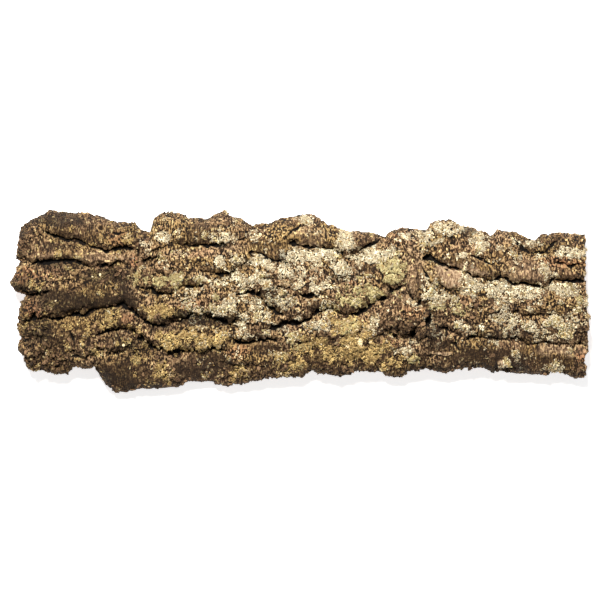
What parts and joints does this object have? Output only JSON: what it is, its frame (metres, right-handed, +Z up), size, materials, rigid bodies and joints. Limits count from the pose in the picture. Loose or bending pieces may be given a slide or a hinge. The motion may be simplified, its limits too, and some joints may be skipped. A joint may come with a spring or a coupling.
{
  "type": "cork bark slab",
  "caption": "Arched slab of rough virgin cork bark, deeply fissured and overgrown with lichen, broken at one end and sawn at the other.",
  "frame": {"origin": "on the surface it lies on, under the middle of its length and width", "axes": "+X along the slab towards the sawn end, +Y across it, +Z up out of the bark side"},
  "size_m": [0.6002, 0.191, 0.0611],
  "materials": {
    "cork_bark": "rough dry bark, matte, with pale green and yellow lichen"
  },
  "bodies": {
    "root": {"cork_bark_slab": "cork_bark"}
  },
  "joints": []
}
